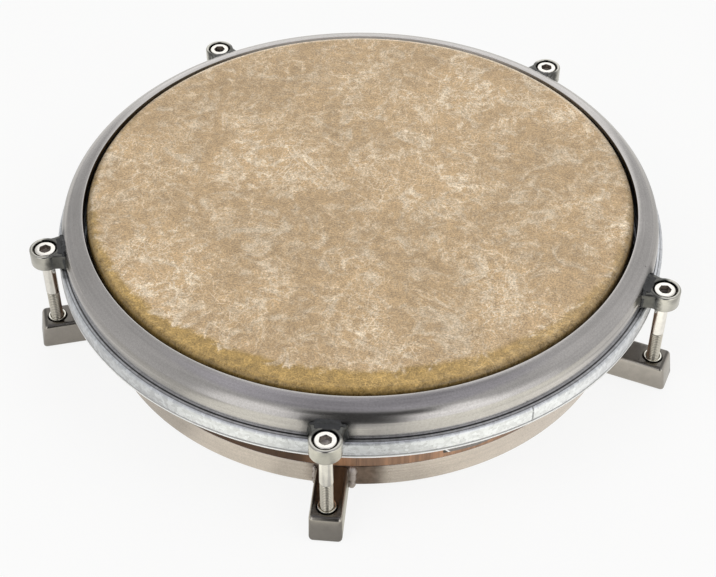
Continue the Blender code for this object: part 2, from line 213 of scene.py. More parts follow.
def closed_mesh(bm, name, smooth_angle=35.0):
    """Merge a bmesh's seams, turn its faces out, shade it smooth and keep its real edges sharp."""
    bmesh.ops.remove_doubles(bm, verts=bm.verts, dist=0.000002)
    bmesh.ops.dissolve_degenerate(bm, edges=bm.edges, dist=0.000001)
    bmesh.ops.recalc_face_normals(bm, faces=bm.faces)
    mesh = bpy.data.meshes.new(name)
    bm.to_mesh(mesh)
    bm.free()
    mesh.shade_smooth()
    mesh.set_sharp_from_angle(angle=math.radians(smooth_angle))
    return mesh


def weld_mesh(name, drops, grain=0.0003, filler=None):
    """A weld: drops of metal, each a place and a radius, run together and smoothed, with a filler under them."""
    bm = filler or bmesh.new()
    for place, size in drops:
        bmesh.ops.create_icosphere(bm, subdivisions=2, radius=size, matrix=Matrix.Translation(place))

    def set_up(piece):
        melt = piece.modifiers.new("melt", "REMESH")
        melt.mode = "VOXEL"
        melt.voxel_size = grain
        flow = piece.modifiers.new("flow", "SMOOTH")
        flow.factor = 0.5
        flow.iterations = 3

    return closed_mesh(with_modifiers(bm, set_up), name, 180.0)


def add_piece(name, mesh, finish, body, stands_for=(), turn=None):
    """Show a finished mesh as a piece that moves with a body of the drum."""
    if turn is not None:
        mesh.transform(turn)
    mesh.materials.clear()
    mesh.materials.append(finish)
    piece = bpy.data.objects.new(name, mesh)
    bpy.context.scene.collection.objects.link(piece)
    if body:
        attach(piece, body)
    if stands_for:
        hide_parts(*stands_for)
    return piece


class Channel:
    """One value, colour or vector of a finish; arithmetic on it adds the nodes that do the sum."""

    def __init__(self, work, socket):
        self.work = work
        self.socket = socket

    def sum(self, operation, *others):
        """A Math node over this value and the others."""
        return self.work.node("ShaderNodeMath", {"operation": operation}, dict(enumerate((self, *others))))

    def __add__(self, other):
        return self.sum("ADD", other)

    __radd__ = __add__

    def __mul__(self, other):
        return self.sum("MULTIPLY", other)

    __rmul__ = __mul__

    def __sub__(self, other):
        return self.sum("SUBTRACT", other)

    def __rsub__(self, other):
        return self.work.node("ShaderNodeMath", {"operation": "SUBTRACT"}, {0: other, 1: self})

    def __truediv__(self, other):
        return self.sum("DIVIDE", other)

    def __pow__(self, other):
        return self.sum("POWER", other)

    def __abs__(self):
        return self.sum("ABSOLUTE")

    def beside(self, output):
        """Another output of the node that this value comes from."""
        return Channel(self.work, self.socket.node.outputs[output])

    def rise(self, low, high):
        """0 below low, 1 above high, and a smooth step between them; high may be the lower one."""
        values = {"Value": self, "From Min": low, "From Max": high}
        return self.work.node("ShaderNodeMapRange", {"interpolation_type": "SMOOTHSTEP"}, values)


class Nodework:
    """A node tree in the making."""

    def __init__(self, tree):
        self.tree = tree

    def node(self, kind, settings=None, values=None, output=0):
        """Add a node, set it up, feed its inputs and hand back one of its outputs."""
        made = self.tree.nodes.new(kind)
        for key, value in (settings or {}).items():
            setattr(made, key, value)
        for key, value in (values or {}).items():
            self.feed(made.inputs[key], value)
        return Channel(self, made.outputs[output])

    def feed(self, socket, value):
        """Link a channel to an input, or set the input to a plain value."""
        if isinstance(value, Channel):
            self.tree.links.new(value.socket, socket)
        elif isinstance(value, tuple) and len(value) == 3 and socket.type == "RGBA":
            socket.default_value = (*value, 1.0)
        else:
            socket.default_value = value

    def mix(self, factor, first, second):
        """A colour between two others."""
        return self.node("ShaderNodeMix", {"data_type": "RGBA"}, {0: factor, 6: first, 7: second}, output=2)

    def shade(self, colour, value):
        """A colour multiplied by a value."""
        settings = {"data_type": "RGBA", "blend_type": "MULTIPLY"}
        return self.node("ShaderNodeMix", settings, {0: 1.0, 6: colour, 7: self.joined(value, value, value)}, output=2)

    def split(self, vector):
        """The three parts of a vector."""
        parts = self.tree.nodes.new("ShaderNodeSeparateXYZ")
        self.feed(parts.inputs[0], vector)
        return [Channel(self, socket) for socket in parts.outputs]

    def joined(self, x, y, z):
        """A vector from three values."""
        return self.node("ShaderNodeCombineXYZ", None, {0: x, 1: y, 2: z})


class Finish(Nodework):
    """A material in the making, on one Principled shader."""

    def __init__(self, name, roughness, metallic=0.0, coat=0.0):
        self.material = bpy.data.materials.new(name)
        self.material.use_nodes = True
        super().__init__(self.material.node_tree)
        self.shader = self.tree.nodes["Principled BSDF"]
        self.shader.inputs["Roughness"].default_value = roughness
        self.shader.inputs["Metallic"].default_value = metallic
        self.shader.inputs["Coat Weight"].default_value = coat
        self.place = self.node("ShaderNodeTexCoord", output="Object")

    def noise(self, scale, detail=2.0, vector=None, distortion=0.0, roughness=0.5, fourth=None, output="Fac"):
        """Soft random values from 0 to 1."""
        settings = {"noise_dimensions": "3D"}
        values = {
            "Vector": vector or self.place,
            "Scale": scale,
            "Detail": detail,
            "Roughness": roughness,
            "Distortion": distortion,
        }
        if fourth is not None:
            settings = {"noise_dimensions": "4D"}
            values["W"] = fourth
        return self.node("ShaderNodeTexNoise", settings, values, output)

    def paint(self, colour=None, roughness=None, bump=None, bump_depth=0.0001, metallic=None):
        """Feed the shader, and hand back the finished material."""
        if colour is not None:
            self.feed(self.shader.inputs["Base Color"], colour)
        if roughness is not None:
            self.feed(self.shader.inputs["Roughness"], roughness)
        if metallic is not None:
            self.feed(self.shader.inputs["Metallic"], metallic)
        if bump is not None:
            values = {"Height": bump, "Distance": bump_depth, "Strength": 1.0}
            self.feed(self.shader.inputs["Normal"], self.node("ShaderNodeBump", None, values))
        return self.material


def scaled(colour, factor):
    """A colour made darker or lighter."""
    return tuple(value * factor for value in colour)


def round_the_drum(finish):
    """Distance from the drum's axis, height, and the direction round it as a cosine and a sine."""
    x, y, z = finish.split(finish.place)
    radius = (x * x + y * y) ** 0.5
    safe = radius.sum("MAXIMUM", 0.001)
    return radius, z, x / safe, y / safe


def beside_lug(finish, radius):
    """Distance in metres round the drum, at some radius, to the nearest lug, with its sign."""
    x, y, _ = finish.split(finish.place)
    angle = y.sum("ARCTAN2", x) + (math.pi / 2.0)
    share = (angle * (LUG_COUNT / (2.0 * math.pi))).sum("WRAP", 0.5, -0.5)
    return share * (2.0 * math.pi / LUG_COUNT * radius)


def from_rod_axis(finish):
    """Distance in metres from the axis of the nearest rod."""
    x, y, _ = finish.split(finish.place)
    radius = (x * x + y * y) ** 0.5
    across = beside_lug(finish, LUG_RADIUS)
    outward = radius - LUG_RADIUS
    return (across * across + outward * outward) ** 0.5


def towards(finish, turn_x, turn_y, degrees):
    """1 on the side of the drum at a compass angle, 0.5 a quarter turn away and 0 on the far side."""
    angle = math.radians(degrees)
    return (turn_x * math.cos(angle) + turn_y * math.sin(angle)) * 0.5 + 0.5


def hairs(finish, scale, length, width, shift):
    """Short hairs, one in each cell of a random pattern, each with its own direction, bend and strength."""
    moved = finish.node("ShaderNodeVectorMath", {"operation": "ADD"}, {0: finish.place, 1: (shift, shift * 0.7, 0.0)})
    settings = {"voronoi_dimensions": "2D"}
    root = finish.node("ShaderNodeTexVoronoi", settings, {"Vector": moved, "Scale": scale}, output="Position")
    turn, bend, strength = finish.split(root.beside("Color"))
    offset = finish.node("ShaderNodeVectorMath", {"operation": "SUBTRACT"}, {0: moved, 1: root})
    x, y, _ = finish.split(offset)
    cosine, sine = (turn * 3.1416).sum("COSINE"), (turn * 3.1416).sum("SINE")
    along = x * cosine + y * sine
    across = y * cosine - x * sine + along * along * (bend - 0.5) * (0.9 / length)
    line = 1.0 - abs(across).rise(width * 0.25, width)
    return line * (1.0 - abs(along).rise(length * 0.25, length * 0.5)) * (0.35 + 0.65 * strength)


def skin_finish(colour, fibre, edge):
    """Fibre-filled drum skin, golden where it rolls over the bearing edge and white at its tuck, with painted shade by
    the rim's lip and under the flesh hoop, and a painted highlight on its far roll.
    """
    finish = Finish("drum_skin", 0.52)
    # The place of each point at rest, so the pattern stays on the film when it stretches
    finish.place = finish.node("ShaderNodeAttribute", {"attribute_name": "rest_place"}, output="Vector")
    radius, height, turn_x, turn_y = round_the_drum(finish)
    broad = finish.noise(15.0, 3.0, fourth=2.0)
    patches = finish.noise(30.0, 4.0, roughness=0.6, distortion=0.5)
    clouds = finish.noise(62.0, 6.0, roughness=0.68, distortion=1.2)
    mottle = finish.noise(190.0, 4.0, roughness=0.66, distortion=0.5)
    grit = finish.noise(900.0, 3.0, roughness=0.7)
    speck = finish.noise(1500.0, 2.0, roughness=0.6, fourth=3.0)
    # Hairs of several lengths lie across each other and gather in clumps, with pale veins between them
    gathered = finish.noise(40.0, 4.0, roughness=0.6, fourth=7.0).rise(0.42, 0.62)
    strands = None
    sizes = ((40, 0.0270, 0.00050), (44, 0.0250, 0.00042), (62, 0.0180, 0.00046), (66, 0.0160, 0.00038))
    sizes += ((96, 0.0120, 0.00042), (104, 0.0110, 0.00036), (150, 0.0076, 0.00036), (165, 0.0068, 0.00034))
    sizes += ((240, 0.0048, 0.00032), (260, 0.0044, 0.00030))
    for index, (scale, length, width) in enumerate(sizes):
        strand = hairs(finish, scale, length, width, 0.37 * index)
        strands = strand if strands is None else strands.sum("MAXIMUM", strand)
    veil = clouds.rise(0.48, 0.70)
    wide = 1.0 - abs(finish.noise(24.0, 5.0, roughness=0.66, distortion=1.4, fourth=5.0) - 0.5).rise(0.002, 0.026)
    thin = 1.0 - abs(finish.noise(52.0, 5.0, roughness=0.62, distortion=1.0, fourth=9.0) - 0.5).rise(0.002, 0.030)
    vein = (wide * patches.rise(0.40, 0.58)).sum("MAXIMUM", thin * clouds.rise(0.42, 0.58) * 0.8)
    dense = 0.48 + 0.66 * broad.rise(0.42, 0.58)
    clump = strands * gathered * dense
    strands = strands * (0.12 + 0.80 * veil) * dense
    vein = vein * dense
    shade = broad * 0.6 + patches * 0.4
    tone = finish.mix(shade.rise(0.41, 0.59), scaled(colour, 0.92), scaled(colour, 1.11))
    tone = finish.mix(veil * 0.58, tone, scaled(fibre, 0.90))
    tone = finish.mix(vein * mottle.rise(0.30, 0.62) * 0.84, tone, scaled(fibre, 1.10))
    tone = finish.mix((strands * 0.74).sum("MAXIMUM", clump * 0.58), tone, scaled(fibre, 1.22))
    # The golden band is broad in front and fades out on the right, and its inner edge is ragged
    side = towards(finish, turn_x, turn_y, -94.0)
    ragged = (veil - 0.3) * 0.0045 + (patches - 0.5) * 0.0100 + (mottle - 0.5) * 0.0050
    band = (radius - ragged + (side**3.0) * 0.0118).rise(0.1466, 0.1510)
    band = band * (0.32 + 0.75 * towards(finish, turn_x, turn_y, -110.0) ** 2.0).sum("MINIMUM", 0.95)
    gold = finish.mix(mottle.rise(0.34, 0.66), scaled(edge, 0.78), scaled(edge, 1.02))
    gold = finish.mix(strands.sum("MAXIMUM", clump) * 0.55, gold, scaled(edge, 1.9))
    tone = finish.mix(band, tone, gold)
    # Painted shade darkens the roll next to the rim's lip, except on the far side
    dim = (radius + side * 0.0006 + turn_x * turn_x * 0.0014).rise(0.1470, 0.1512) * side.rise(0.04, 0.20)
    tone = finish.mix(dim * 0.62, tone, scaled(edge, 0.14))
    # A painted highlight lightens the roll on the far side
    shine = radius.rise(0.1460, 0.1474) * (1.0 - side.rise(0.10, 0.36))
    tone = finish.mix(shine * 0.60, tone, scaled(fibre, 1.12))
    # Fine light and dark specks all over
    fine = 1.0 + (grit - 0.5) * 1.85 + (speck - 0.5) * 1.35 + (mottle - 0.5) * 0.90
    tone = finish.shade(tone, fine)
    # Painted shade: below the bead the lapped strip is dark grey, with painted black shadow beyond a slanted line at
    # its end and the film's white along that line
    hanging = height.rise(BEAD_BOTTOM - 0.0001, BEAD_BOTTOM - 0.0003)
    start = turn_x * radius - 0.0566 + (height - BEAD_BOTTOM) * 0.85
    lap = finish.mix(start.rise(-0.0002, 0.0), (0.03, 0.025, 0.02), (0.20, 0.18, 0.165))
    lap = finish.mix(1.0 - abs(start).rise(0.0003, 0.0007), lap, (0.95, 0.95, 0.93))
    white = finish.mix(hanging, (0.95, 0.95, 0.93), lap)
    tone = finish.mix(height.rise(-0.0262, -0.0270), tone, white)
    # A thin band of painted shadow darkens the top of the bead, under the flesh hoop
    tone = finish.mix(height.rise(-0.0276, -0.0273) * radius.rise(0.1660, 0.1664) * 0.55, tone, (0.05, 0.05, 0.05))
    relief = strands * 0.5 + mottle * 0.5 + grit * 0.4
    rough = 0.46 + 0.16 * mottle - 0.26 * radius.rise(0.1458, 0.1472)
    return finish.paint(tone, rough, relief, 0.00008)


def plated_finish(name, colour, roughness, burn_radius, burn_middle, burn_reach, burn_colour, burn_window):
    """Satin plated steel, brushed round the drum, with burnt patches beside its welds."""
    finish = Finish(name, roughness, 1.0)
    radius, height, turn_x, turn_y = round_the_drum(finish)
    course = finish.joined(turn_x * 3.0, turn_y * 3.0, radius * 900.0)
    brushed = finish.noise(1.0, 3.0, vector=course, fourth=height * 900.0)
    hollow = finish.joined(turn_x * 9.0, turn_y * 9.0, radius * 170.0)
    smear = finish.noise(1.0, 3.0, vector=hollow, fourth=height * 170.0)
    cloud = finish.noise(24.0, 3.0)
    stain = finish.noise(150.0, 4.0, roughness=0.62)
    grit = finish.noise(1100.0, 2.0, roughness=0.65)
    nick = 1.0 - finish.node("ShaderNodeTexVoronoi", None, {"Vector": finish.place, "Scale": 42.0}).rise(0.010, 0.026)
    shade = cloud * 0.6 + brushed * 0.2 + stain * 0.2
    tone = finish.mix(shade.rise(0.3, 0.7), scaled(colour, 0.90), scaled(colour, 1.05))
    tone = finish.shade(tone, 1.0 + (grit - 0.5) * 0.38 + (brushed - 0.5) * 0.22)
    tone = finish.mix(nick * 0.7, tone, scaled(colour, 0.25))
    rough = (roughness - 0.05) + 0.05 * cloud + 0.05 * brushed
    # Burnt metal fades out round the drum and in height
    low, high = burn_window
    away = abs(beside_lug(finish, burn_radius) - burn_middle) + (stain - 0.5) * 0.006 + (cloud - 0.5) * 0.004
    burn = (1.0 - away.rise(burn_reach * 0.60, burn_reach * 1.30)) * height.rise(high, low)
    burnt = finish.mix(stain.rise(0.30, 0.70), burn_colour, scaled(burn_colour, 2.2))
    tone = finish.mix(burn * 0.95, tone, burnt)
    # The lip's edge is dull where it faces the front
    lip = radius.rise(RIM_LIP_RADIUS + 0.0009, RIM_LIP_RADIUS + 0.0003) * turn_y.rise(0.72, 0.96)
    metal = 1.0 - lip * height.rise(-0.0150, -0.0120)
    return finish.paint(tone, rough + 0.12 * burn, smear + brushed * 0.04 - nick * 0.3, 0.00003, metal)


def cast_finish(name, colour, roughness, burn_and_shade_inside, shade_above):
    """Plated cast steel with a fine orange-peel surface, heat-tinted and with painted shade inside a radius by its
    weld, and painted shade on top.
    """
    finish = Finish(name, roughness, 1.0)
    radius, height, _, _ = round_the_drum(finish)
    cloud = finish.noise(60.0, 3.0)
    stain = finish.noise(260.0, 4.0, roughness=0.65)
    grit = finish.noise(1100.0, 2.0, roughness=0.6)
    shade = cloud * 0.6 + stain * 0.4
    tone = finish.mix(shade.rise(0.30, 0.70), scaled(colour, 0.86), scaled(colour, 1.06))
    ragged = radius + (stain - 0.5) * 0.004 + (cloud - 0.5) * 0.003
    # Painted shade darkens the top face
    tone = finish.mix(height.rise(shade_above - 0.0005, shade_above) * 0.72, tone, scaled(colour, 0.12))
    # Inside a radius by the weld it darkens: heat tint, and painted shade in the counterbore's wall on the drum's side
    burn = 1.0 - ragged.rise(burn_and_shade_inside - 0.0020, burn_and_shade_inside + 0.0022)
    tone = finish.mix(burn * 0.94, tone, finish.mix(stain, (0.030, 0.030, 0.029), (0.17, 0.17, 0.16)))
    rough = (roughness - 0.04) + 0.08 * stain + 0.14 * burn
    return finish.paint(tone, rough, grit * 0.35 + stain * 0.6 + cloud, 0.00005)


def zinc_finish(colour):
    """Bright galvanised sheet with a fine spangle."""
    finish = Finish("zinc_spangle", 0.40, 1.0)
    cells = finish.node("ShaderNodeTexVoronoi", None, {"Vector": finish.place, "Scale": 520.0}, output="Color")
    grain = finish.node("ShaderNodeSeparateColor", None, {0: cells})
    radius, height, turn_x, turn_y = round_the_drum(finish)
    drawn = finish.joined(turn_x * 26.0, turn_y * 26.0, height * 700.0)
    smudge = finish.noise(1.0, 5.0, vector=drawn, roughness=0.7)
    pit = finish.noise(700.0, 3.0, roughness=0.7)
    shade = grain * 0.5 + smudge * 0.5
    tone = finish.mix(shade.rise(0.25, 0.75), scaled(colour, 0.82), scaled(colour, 1.04))
    tone = finish.mix(pit.rise(0.58, 0.70) * 0.45, tone, scaled(colour, 0.45))
    # Painted shade: dark next to the rim, with a thin painted dark line where its shoulder starts
    top = height.rise(FLESH_TOP - 0.0014, FLESH_TOP - 0.0008)
    line = 1.0 - abs(radius - 0.1662).rise(0.0001, 0.0004)
    painted_shade = ((1.0 - radius.rise(0.1648, 0.1651)) * 0.85).sum("MAXIMUM", line * 0.62)
    tone = finish.mix(painted_shade * top, tone, scaled(colour, 0.06))
    return finish.paint(tone, 0.30 + 0.22 * shade, grain * 0.5 + smudge * 0.6 + pit * 0.5, 0.00004)


def wood_finish(colour, dark):
    """Stained veneer with its grain running up the shell, and painted shade on its left and far round on its right."""
    finish = Finish("stained_wood", 0.42)
    x, y, z = finish.split(finish.place)
    upright = finish.joined(x, y, z * 0.05)
    streaks = finish.noise(420.0, 4.0, vector=upright, roughness=0.62)
    broad = finish.noise(45.0, 3.0, vector=upright)
    pores = finish.noise(1500.0, 2.0, vector=upright).rise(0.60, 0.72)
    tone = finish.mix((streaks * 0.6 + broad * 0.5).rise(0.35, 0.75), dark, colour)
    # Painted shade: the shell is darker on its left and far round on its right; on its left it also has less coat and
    # more roughness
    left = x.rise(0.005, -0.02)
    tone = finish.mix(left * 0.92, tone, scaled(dark, 0.26))
    tone = finish.mix(x.rise(0.07, 0.10) * 0.85, tone, scaled(dark, 0.35))
    tone = finish.mix(pores * 0.5, tone, scaled(dark, 0.5))
    finish.feed(finish.shader.inputs["Coat Weight"], 0.25 - 0.25 * left)
    return finish.paint(tone, 0.34 + 0.2 * streaks + 0.4 * left, streaks - pores * 0.4, 0.00006)


def polished_finish(name, colour, roughness):
    """Bright plated steel with faint turning marks."""
    finish = Finish(name, roughness, 1.0)
    cloud = finish.noise(160.0, 4.0, roughness=0.6)
    _, _, z = finish.split(finish.place)
    lines = finish.noise(1.0, 2.0, vector=finish.joined(z * 9000.0, z * 300.0, 0.0))
    tone = finish.mix(cloud.rise(0.35, 0.7), scaled(colour, 0.90), colour)
    return finish.paint(tone, (roughness - 0.04) + 0.08 * cloud, lines * 0.4 + cloud * 0.3, 0.00001)


def rod_finish(colour, thread_colour, crest, socket):
    """Bright plated steel, duller on its thread with painted shade in its grooves, and painted shade inside its socket.
    """
    finish = Finish("rod_plating", 0.16, 1.0)
    cloud = finish.noise(220.0, 4.0, roughness=0.6)
    stain = finish.noise(900.0, 3.0, roughness=0.65)
    _, _, z = finish.split(finish.place)
    lines = finish.noise(1.0, 2.0, vector=finish.joined(z * 9000.0, z * 300.0, 0.0))
    away = from_rod_axis(finish)
    tone = finish.mix(cloud.rise(0.35, 0.7), scaled(colour, 0.90), colour)
    tone = finish.mix(stain.rise(0.60, 0.74) * 0.35, tone, scaled(colour, 0.5))
    threaded = z.rise(THREAD_TOP + 0.0001, THREAD_TOP - 0.0003)
    # Painted shade darkens the thread's grooves
    groove = 1.0 - away.rise(crest - 0.0005, crest - 0.0002)
    tone = finish.mix(threaded * 0.92, tone, finish.mix(groove, thread_colour, scaled(thread_colour, 0.25)))
    # Painted shade darkens the inside of the socket
    sunk = away.rise(socket + 0.0002, socket) * z.rise(HEAD_TOP - 0.0001, HEAD_TOP - 0.0005)
    sunk = sunk * z.rise(HEAD_BOTTOM - 0.0002, HEAD_BOTTOM + 0.0002)
    tone = finish.mix(sunk * 0.80, tone, finish.mix(stain, (0.10, 0.08, 0.07), (0.40, 0.36, 0.34)))
    return finish.paint(tone, 0.12 + 0.08 * cloud + 0.14 * threaded, lines * 0.4 + cloud * 0.3, 0.00001)


def weld_finish(name, colour, metallic=0.9):
    """Scaly weld metal."""
    finish = Finish(name, 0.5, metallic)
    scale = finish.noise(800.0, 4.0, roughness=0.7)
    cloud = finish.noise(240.0, 3.0)
    tone = finish.mix(scale * 0.5 + cloud * 0.5, scaled(colour, 0.50), scaled(colour, 1.45))
    return finish.paint(tone, 0.34 + 0.3 * scale, scale, 0.00008)


class DrumSettings(bpy.types.PropertyGroup):
    """Sizes and colours of the drum that a user may change."""

    round_steps: bpy.props.IntProperty(
        name="Steps round the drum", description="Facets of the large rings", default=288, min=80, max=480
    )
    edge_round: bpy.props.FloatProperty(
        name="Sheet edge round", description="Round on the edges of the rolled steel", default=0.0005, unit="LENGTH"
    )
    thread_pitch: bpy.props.FloatProperty(
        name="Thread pitch", description="Rise of the rod's thread in one turn", default=0.00127, unit="LENGTH"
    )
    thread_depth: bpy.props.FloatProperty(
        name="Thread depth", description="Depth of the rod's thread", default=0.00045, unit="LENGTH"
    )
    socket_flats: bpy.props.FloatProperty(
        name="Socket width", description="Hexagon socket across its flats", default=0.0060, unit="LENGTH"
    )
    weld_size: bpy.props.FloatProperty(
        name="Weld size", description="Half width of a weld bead", default=0.0013, unit="LENGTH"
    )
    skin_colour: bpy.props.FloatVectorProperty(
        name="Skin", description="Main colour of the skin", subtype="COLOR", default=(0.452, 0.315, 0.174), min=0, max=1
    )
    fibre_colour: bpy.props.FloatVectorProperty(
        name="Fibres", description="Pale fibres in the skin", subtype="COLOR", default=(0.68, 0.58, 0.44), min=0, max=1
    )
    edge_colour: bpy.props.FloatVectorProperty(
        name="Skin edge", description="Skin over the bearing edge", subtype="COLOR", default=(0.400, 0.260, 0.082), min=0, max=1
    )
    plating_colour: bpy.props.FloatVectorProperty(
        name="Rim plating", description="Antique plating of the rim", subtype="COLOR", default=(0.508, 0.487, 0.478), min=0, max=1
    )
    ring_colour: bpy.props.FloatVectorProperty(
        name="Ring plating", description="Antique plating of the ring", subtype="COLOR", default=(0.58, 0.52, 0.478), min=0, max=1
    )
    arm_colour: bpy.props.FloatVectorProperty(
        name="Arm plating", description="Antique plating of the arms", subtype="COLOR", default=(0.44, 0.41, 0.375), min=0, max=1
    )
    wood_colour: bpy.props.FloatVectorProperty(
        name="Wood", description="Light streaks of the stained shell", subtype="COLOR", default=(0.58, 0.31, 0.17), min=0, max=1
    )


class CONGA_OT_head(bpy.types.Operator):
    """Make the drum head, one film from the playing surface down to its tuck under the flesh hoop"""

    bl_idname = "conga.head"
    bl_label = "Drum head"

    def execute(self, context):
        settings = context.scene.conga
        foot = FLESH_INNER - 0.0003
        tuck_top = FLESH_BOTTOM - 0.0003
        centre = (FILM_RADIUS - FILM_ROLL, -FILM_ROLL)
        outside = [(0.0, 0.0), (0.060, 0.0), (0.110, 0.0), (0.137, 0.0)] + arc(centre, FILM_ROLL, 90.0, 0.0, 12)
        outside += [(FILM_RADIUS + 0.0008, -0.0110), (foot - 0.0010, -0.0200), (foot, tuck_top)]
        bead = FLESH_RADIUS + 0.0002
        outside += [(bead - 0.0001, tuck_top), (bead, tuck_top - 0.0001), (bead, BEAD_BOTTOM + 0.0001)]
        outside += [(bead - 0.0001, BEAD_BOTTOM), (bead - 0.0016, BEAD_BOTTOM), (bead - 0.0016, tuck_top - FILM)]
        inside = [(foot - FILM, tuck_top - FILM)]
        inside += [(foot - 0.0010 - FILM, -0.0200), (FILM_RADIUS + 0.0008 - FILM, -0.0110)]
        inside += arc(centre, FILM_ROLL - FILM, 0.0, 90.0, 12) + [(0.110, -FILM), (0.0, -FILM)]
        bm = spun(outside + inside, settings.round_steps)
        # The film's end hangs lower where it laps over its start, cut off on a slant
        lap = [(bead - 0.0015, BEAD_BOTTOM + 0.0004), (bead - 0.0005, BEAD_BOTTOM + 0.0004)]
        lap += [(bead - 0.0005, BEAD_BOTTOM - 0.0026), (bead - 0.0015, BEAD_BOTTOM - 0.0026)]
        strip = spun(lap, 12, 10.0)
        bmesh.ops.rotate(strip, verts=strip.verts, matrix=Matrix.Rotation(math.radians(-70.5), 3, "Z"))
        low_start = Matrix.Rotation(math.radians(-64.5), 3, "Z") @ Vector((bead, 0.0, BEAD_BOTTOM - 0.0026))
        low_end = Matrix.Rotation(math.radians(-60.5), 3, "Z") @ Vector((bead, 0.0, BEAD_BOTTOM))
        slant = (low_end - low_start).cross(Vector((low_start.x, low_start.y, 0.0))).normalized()
        bmesh.ops.bisect_plane(
            strip,
            geom=strip.verts[:] + strip.edges[:] + strip.faces[:],
            dist=0.0000001,
            plane_co=low_start,
            plane_no=slant if slant.z < 0.0 else -slant,
            clear_outer=True,
        )
        bmesh.ops.holes_fill(strip, edges=[edge for edge in strip.edges if edge.is_boundary], sides=0)
        bm = combined(bm, [strip], "UNION")
        mesh = closed_mesh(bm, "drum_head", 50.0)
        rest = mesh.attributes.new("rest_place", "FLOAT_VECTOR", "POINT")
        for corner, value in zip(mesh.vertices, rest.data):
            value.vector = corner.co
        finish = skin_finish(tuple(settings.skin_colour), tuple(settings.fibre_colour), tuple(settings.edge_colour))
        piece = add_piece("drum_head", mesh, finish, None, ("head_skin", "head_collar"))
        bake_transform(piece)
        return {"FINISHED"}


class CONGA_OT_shell(bpy.types.Operator):
    """Make the short wooden shell with its rolled bearing edge"""

    bl_idname = "conga.shell"
    bl_label = "Wooden shell"

    def execute(self, context):
        settings = context.scene.conga
        spigot = RING_INNER - 0.0003
        centre = (0.1440, -0.0045)
        outline = [(SHELL_INNER, -0.0039), (SHELL_INNER + 0.0030, -0.0009)] + arc(centre, 0.0036, 90.0, 0.0, 8)
        outline += [(SHELL_RADIUS, -0.0592), (spigot, -0.0592), (spigot, -0.0653), (SHELL_INNER, -0.0653)]
        bm = spun(outline, settings.round_steps)
        finish = wood_finish(tuple(settings.wood_colour), scaled(settings.wood_colour, 0.42))
        add_piece("turned_shell", closed_mesh(bm, "turned_shell"), finish, "frame", ("wood_shell",))
        return {"FINISHED"}


class CONGA_OT_rim(bpy.types.Operator):
    """Make the pressed rim with its quarter-round crown"""

    bl_idname = "conga.rim"
    bl_label = "Rim"

    def execute(self, context):
        settings = context.scene.conga
        sheet, crown, lean = 0.0025, 0.0105, math.radians(6.5)
        half_width = (RIM_RADIUS - RIM_LIP_RADIUS) / (1.0 - math.sin(lean))
        centre = Vector((RIM_RADIUS - half_width, RIM_TOP - crown * math.cos(lean)))
        outside, inside = [], []
        for step in range(33):
            angle = lean + (math.pi / 2.0 - lean) * step / 32
            point = Vector((half_width * math.sin(angle), crown * math.cos(angle)))
            normal = Vector((math.sin(angle) / half_width, math.cos(angle) / crown)).normalized()
            outside.append(tuple(centre + point))
            inside.append(tuple(centre + point - normal * sheet))
        outside.append((RIM_RADIUS, RIM_BOTTOM))
        inside.append((RIM_RADIUS - sheet, RIM_BOTTOM))
        outline = rounded(outside + inside[::-1], settings.edge_round)
        mesh = closed_mesh(spun(outline, settings.round_steps), "rounded_rim")
        burn = (RIM_RADIUS, 0.0002, 0.0124, (0.030, 0.030, 0.032), (-0.0082, -0.0046))
        finish = plated_finish("rim_plating", tuple(settings.plating_colour), 0.18, *burn)
        add_piece("rounded_rim", mesh, finish, "hoop", ("counterhoop",))
        return {"FINISHED"}


class CONGA_OT_flesh_hoop(bpy.types.Operator):
    """Make the galvanised channel under the rim, with the weld that closes it"""

    bl_idname = "conga.flesh_hoop"
    bl_label = "Flesh hoop"

    def execute(self, context):
        settings = context.scene.conga
        sheet, shoulder = 0.0012, 0.0018
        centre = (FLESH_RADIUS - shoulder, FLESH_TOP - shoulder)
        outline = [(FLESH_INNER, FLESH_TOP)] + arc(centre, shoulder, 90.0, 0.0, 8)
        outline += [(FLESH_RADIUS, FLESH_BOTTOM), (FLESH_INNER, FLESH_BOTTOM), (FLESH_INNER, FLESH_BOTTOM + sheet)]
        outline += [(FLESH_RADIUS - sheet, FLESH_BOTTOM + sheet)]
        outline += arc(centre, shoulder - sheet, 0.0, 90.0, 8) + [(FLESH_INNER, FLESH_TOP - sheet)]
        mesh = closed_mesh(spun(rounded(outline, 0.0004, 3), settings.round_steps), "zinc_channel")
        finish = zinc_finish((0.83, 0.85, 0.89))
        add_piece("zinc_channel", mesh, finish, "hoop", ("flesh_hoop",))
        chance = random.Random(3)
        angle = math.radians(-54.0)
        path = arc(centre, shoulder - 0.0002, 80.0, 0.0, 6)
        path += [(FLESH_RADIUS - 0.0002, FLESH_BOTTOM + 0.0005 * step) for step in range(12)]
        drops = []
        for radius, height in path:
            place = (radius * math.cos(angle), radius * math.sin(angle), height)
            drops.append((place, 0.00052 * chance.uniform(0.85, 1.15)))
        seam = weld_mesh("channel_weld", drops, 0.00012)
        add_piece("channel_weld", seam, weld_finish("zinc_weld", (0.42, 0.43, 0.45)), "hoop")
        return {"FINISHED"}


